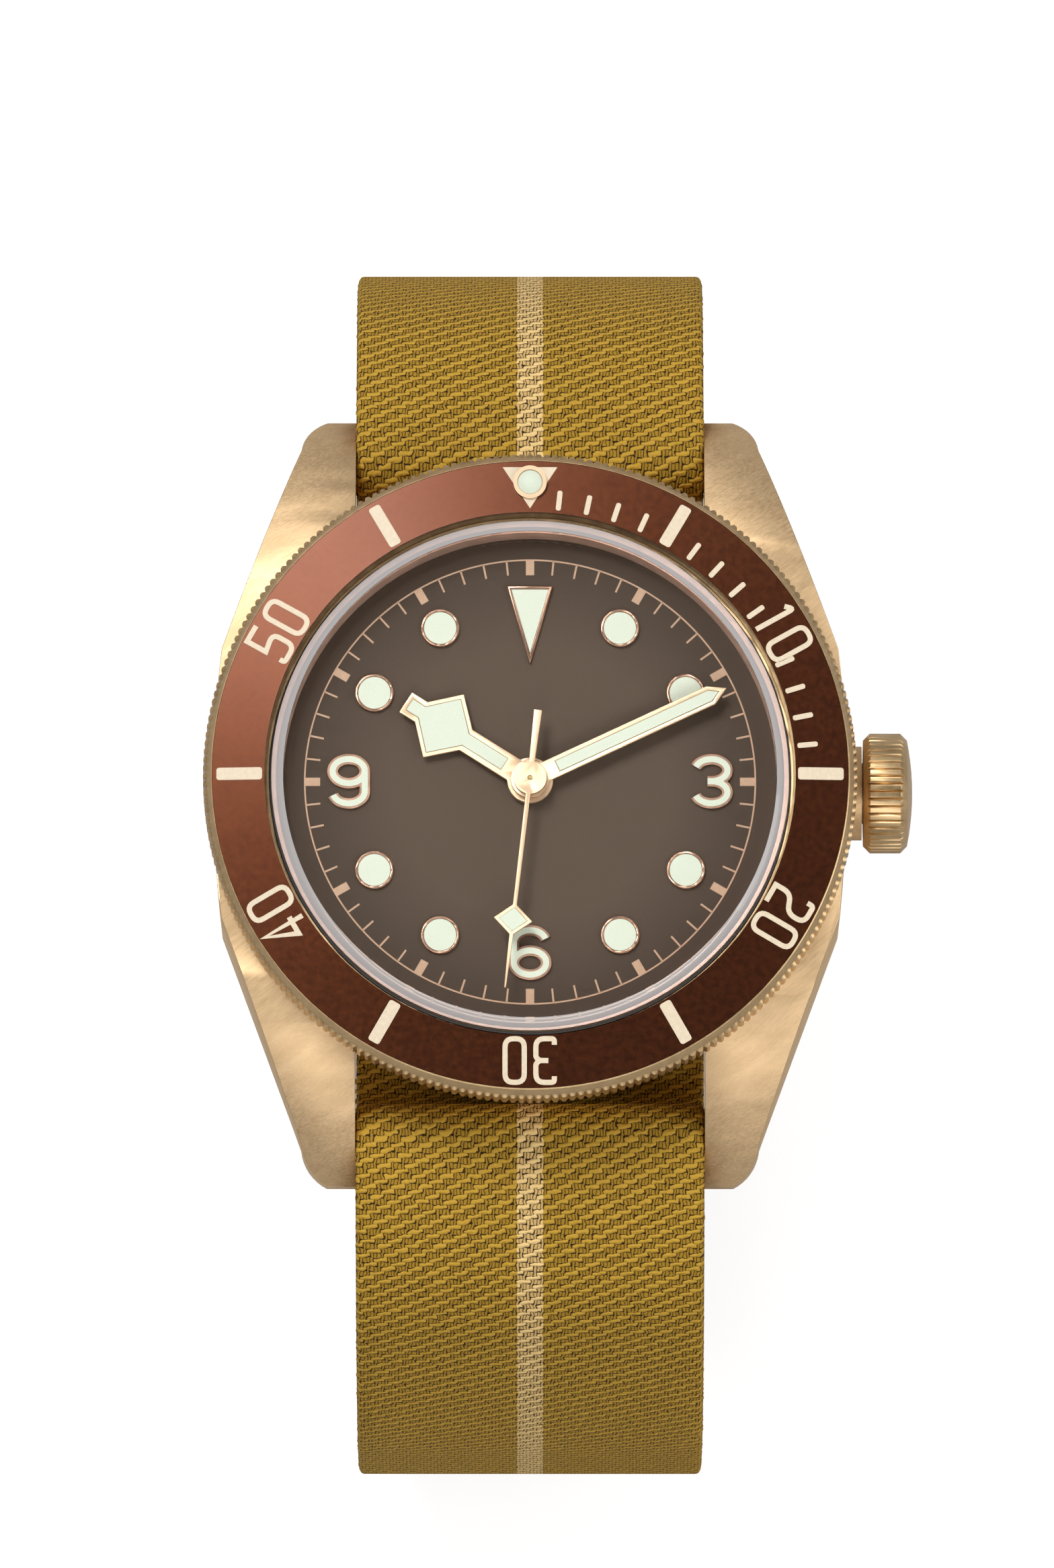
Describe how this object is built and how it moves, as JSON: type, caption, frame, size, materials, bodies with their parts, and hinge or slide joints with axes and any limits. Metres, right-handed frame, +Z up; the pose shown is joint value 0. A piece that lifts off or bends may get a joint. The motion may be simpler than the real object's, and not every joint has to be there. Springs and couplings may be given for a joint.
{
  "type": "dive watch",
  "caption": "Round dive watch with turning bezel, domed crystal, framed luminous hands, side crown and a woven one-piece strap closed by a pin buckle.",
  "frame": {"origin": "on the axis of the hands, in the rest plane under the buckle and keepers", "axes": "+Z up through the dial towards the crystal, +Y towards twelve o'clock, +X towards three o'clock and the crown"},
  "size_m": [0.0467, 0.0792, 0.0635],
  "materials": {
    "case_bronze": "brushed and polished bronze",
    "back_steel": "fine brushed steel",
    "seal_rubber": "matt seal",
    "crystal_glass": "clear domed crystal",
    "rehaut_bronze": "polished inner wall",
    "insert_brown": "brown satin",
    "hand_gold": "polished rose gold tone",
    "lume": "matt luminous filling",
    "spring_steel": "hardened steel",
    "screw_steel": "polished screw heads",
    "ring_plastic": "moulded spacer",
    "plate_nickel": "nickel finish",
    "wheel_brass": "gilt",
    "dial_brown": "satin brown",
    "strap_fabric": "woven ribbon with a pale centre stripe"
  },
  "bodies": {
    "watch": {"balance_cock": "plate_nickel", "barrel_bridge": "plate_nickel", "bezel_click_spring": "spring_steel", "bezel_retaining_wire": "spring_steel", "bridge_screws": "screw_steel", "buckle_bar": "back_steel", "buckle_frame": "case_bronze", "case_middle": "case_bronze", "caseback": "back_steel", "caseback_gasket": "seal_rubber", "crown_tube": "case_bronze", "crystal": "crystal_glass", "crystal_gasket": "seal_rubber", "dial": "dial_brown", "fixed_keeper": "case_bronze", "hour_marker_frames": "hand_gold", "hour_marker_lume": "lume", "main_plate": "plate_nickel", "movement_ring": "ring_plastic", "rehaut_ring": "rehaut_bronze", "rotor_bearing": "spring_steel", "spring_bars": "back_steel", "strap": "strap_fabric", "train_bridge": "plate_nickel"},
    "bezel": {"bezel_ring": "case_bronze", "bezel_insert": "insert_brown", "bezel_pearl_cup": "hand_gold", "bezel_pearl": "lume"},
    "crown_slider": {"crown_gasket": "seal_rubber"},
    "crown_knob": {"crown": "case_bronze", "winding_stem": "spring_steel"},
    "keyless_pinions": {"sliding_pinion": "spring_steel", "winding_pinion": "spring_steel"},
    "seconds_arbor": {"fourth_wheel": "wheel_brass", "seconds_hand": "hand_gold", "seconds_hand_lume": "lume"},
    "minute_arbor": {"centre_wheel": "wheel_brass", "cannon_pinion": "spring_steel", "minute_hand": "hand_gold", "minute_hand_lume": "lume"},
    "hour_arbor": {"hour_wheel": "wheel_brass", "hour_hand": "hand_gold", "hour_hand_lume": "lume"},
    "third_arbor": {"third_wheel": "wheel_brass"},
    "minute_works": {"minute_wheel": "wheel_brass"},
    "barrel": {"barrel_drum": "wheel_brass", "mainspring": "spring_steel"},
    "winding_arbor": {"barrel_arbor": "spring_steel", "ratchet_wheel": "plate_nickel"},
    "escape_arbor": {"escape_wheel": "spring_steel"},
    "pallets": {"pallet_fork": "spring_steel"},
    "balance": {"balance_wheel": "wheel_brass", "hairspring": "spring_steel"},
    "oscillating_weight": {"rotor": "plate_nickel"},
    "tang": {"buckle_tang": "case_bronze"},
    "loose_keeper": {"sliding_keeper": "case_bronze"},
    "bar_tips_right": {"spring_bar_tips_right": "back_steel"},
    "bar_tips_left": {"spring_bar_tips_left": "back_steel"}
  },
  "joints": [
    {"name": "bezel_turn", "type": "hinge", "parent": "watch", "child": "bezel", "pos_m": [0, 0, 0.061], "axis": [0, 0, 1], "continuous": true},
    {"name": "crown_pull", "type": "slide", "parent": "watch", "child": "crown_slider", "axis": [1, 0, 0], "range_m": [0, 0.0022]},
    {"name": "crown_turn", "type": "hinge", "parent": "crown_slider", "child": "crown_knob", "pos_m": [0.0235, 0, 0.0544], "axis": [1, 0, 0], "continuous": true},
    {"name": "keyless_turn", "type": "hinge", "parent": "watch", "child": "keyless_pinions", "pos_m": [0.01, 0, 0.0544], "axis": [1, 0, 0], "continuous": true},
    {"name": "seconds_turn", "type": "hinge", "parent": "watch", "child": "seconds_arbor", "pos_m": [0, 0, 0.0596], "axis": [0, 0, -1], "continuous": true},
    {"name": "minute_turn", "type": "hinge", "parent": "watch", "child": "minute_arbor", "pos_m": [0, 0, 0.0591], "axis": [0, 0, -1], "continuous": true},
    {"name": "hour_turn", "type": "hinge", "parent": "watch", "child": "hour_arbor", "pos_m": [0, 0, 0.0585], "axis": [0, 0, -1], "continuous": true},
    {"name": "third_turn", "type": "hinge", "parent": "watch", "child": "third_arbor", "pos_m": [0.00125, -0.00343, 0.0543], "axis": [0, 0, -1], "continuous": true},
    {"name": "minute_works_turn", "type": "hinge", "parent": "watch", "child": "minute_works", "pos_m": [0.0017, 0.00295, 0.057], "axis": [0, 0, -1], "continuous": true},
    {"name": "barrel_turn", "type": "hinge", "parent": "watch", "child": "barrel", "pos_m": [-0.00438, 0.00438, 0.0545], "axis": [0, 0, -1], "continuous": true},
    {"name": "escape_turn", "type": "hinge", "parent": "watch", "child": "escape_arbor", "pos_m": [-0.00224, -0.00319, 0.0547], "axis": [0, 0, -1], "continuous": true},
    {"name": "winding_arbor_turn", "type": "hinge", "parent": "watch", "child": "winding_arbor", "pos_m": [-0.00438, 0.00438, 0.053], "axis": [0, 0, -1], "continuous": true},
    {"name": "pallet_swing", "type": "hinge", "parent": "watch", "child": "pallets", "pos_m": [-0.00367, -0.00524, 0.0547], "axis": [0, 0, 1], "range_deg": [-5, 5]},
    {"name": "balance_swing", "type": "hinge", "parent": "watch", "child": "balance", "pos_m": [-0.00493, -0.00704, 0.0537], "axis": [0, 0, 1], "range_deg": [-150, 150], "stiffness_Nm_per_rad": 0.000001},
    {"name": "rotor_turn", "type": "hinge", "parent": "watch", "child": "oscillating_weight", "pos_m": [0, 0, 0.0515], "axis": [0, 0, 1], "continuous": true},
    {"name": "tang_swing", "type": "hinge", "parent": "watch", "child": "tang", "pos_m": [0, 0.0062, 0.00425], "axis": [1, 0, 0], "range_deg": [0, 20]},
    {"name": "keeper_slide", "type": "slide", "parent": "watch", "child": "loose_keeper", "axis": [0, 1, 0], "range_m": [-0.0018, 0.0004]},
    {"name": "bar_tips_right_press", "type": "slide", "parent": "watch", "child": "bar_tips_right", "axis": [-1, 0, 0], "range_m": [0, 0.0009], "stiffness_N_per_m": 400, "springref_m": -0.002},
    {"name": "bar_tips_left_press", "type": "slide", "parent": "watch", "child": "bar_tips_left", "axis": [1, 0, 0], "range_m": [0, 0.0009], "stiffness_N_per_m": 400, "springref_m": -0.002}
  ],
  "couplings": [
    {"joint": "keyless_turn", "follows": "crown_turn", "ratio": 1},
    {"joint": "minute_turn", "follows": "seconds_turn", "ratio": 0.016667},
    {"joint": "hour_turn", "follows": "seconds_turn", "ratio": 0.0013889},
    {"joint": "third_turn", "follows": "seconds_turn", "ratio": -0.13333},
    {"joint": "minute_works_turn", "follows": "seconds_turn", "ratio": -0.0055556},
    {"joint": "barrel_turn", "follows": "seconds_turn", "ratio": -0.0023148},
    {"joint": "escape_turn", "follows": "seconds_turn", "ratio": -10}
  ]
}
